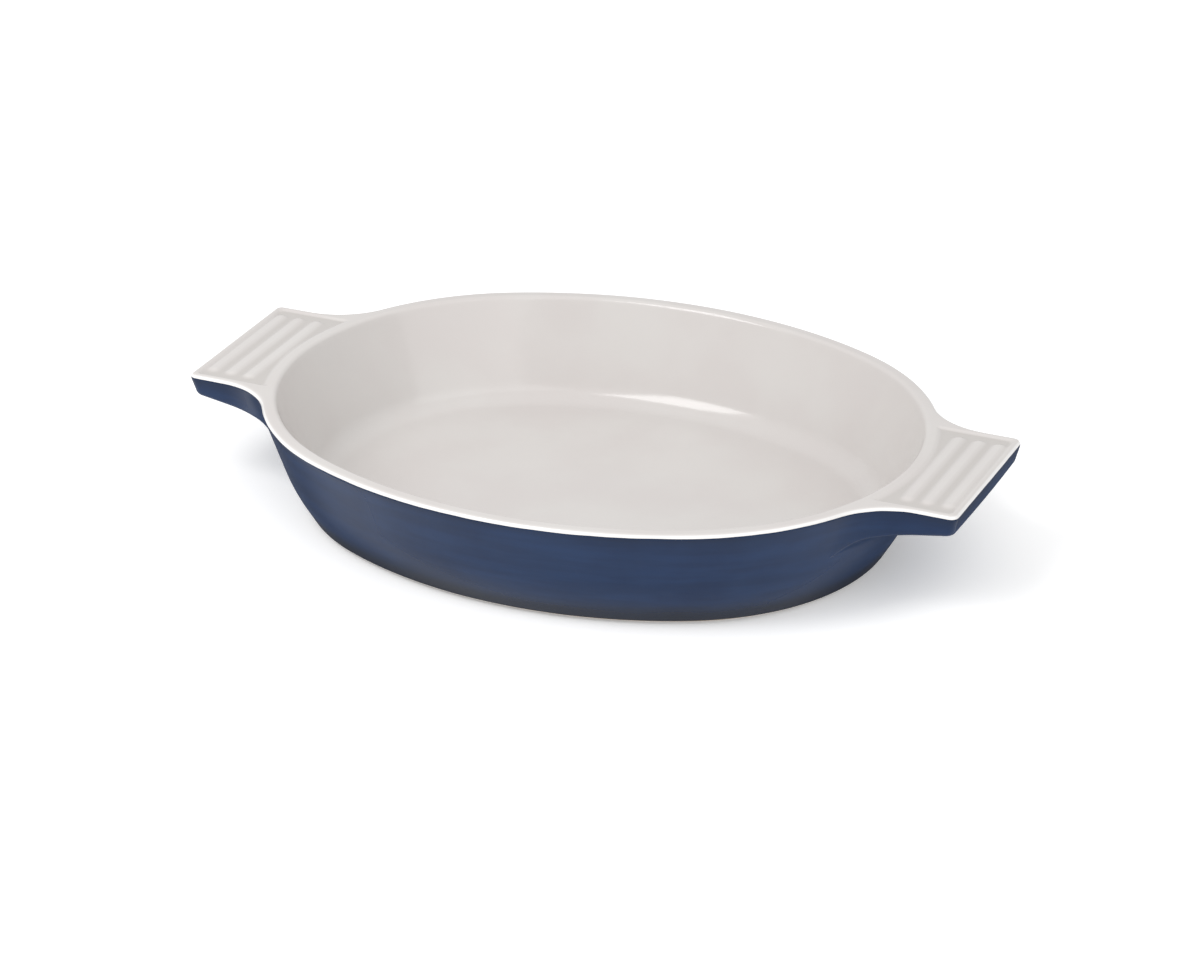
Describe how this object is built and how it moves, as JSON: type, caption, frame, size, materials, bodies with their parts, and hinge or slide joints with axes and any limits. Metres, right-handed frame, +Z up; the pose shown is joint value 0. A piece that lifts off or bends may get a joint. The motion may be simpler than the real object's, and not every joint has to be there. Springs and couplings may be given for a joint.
{
  "type": "gratin dish",
  "caption": "Oval glazed stoneware gratin dish with sloping walls, a flat floor, and a flat ribbed lug at each end to lift it by.",
  "frame": {"origin": "middle of the oval that the dish stands on, at the foot ring's standing face", "axes": "+X along the length from lug to lug, +Y across the dish, +Z up out of the cavity"},
  "size_m": [0.36, 0.2438, 0.0516],
  "materials": {
    "stoneware": "bare fired clay, matte and slightly sandy",
    "cream_glaze": "glossy, thinner and whiter over the rim and the ribs",
    "blue_glaze": "glossy, with faint streaks round the wall"
  },
  "bodies": {
    "root": {"stoneware_bowl": "stoneware", "right_lug": "stoneware", "left_lug": "stoneware", "foot_ring": "stoneware", "interior_glaze": "cream_glaze", "exterior_glaze": "blue_glaze", "base_glaze": "blue_glaze"}
  },
  "joints": []
}
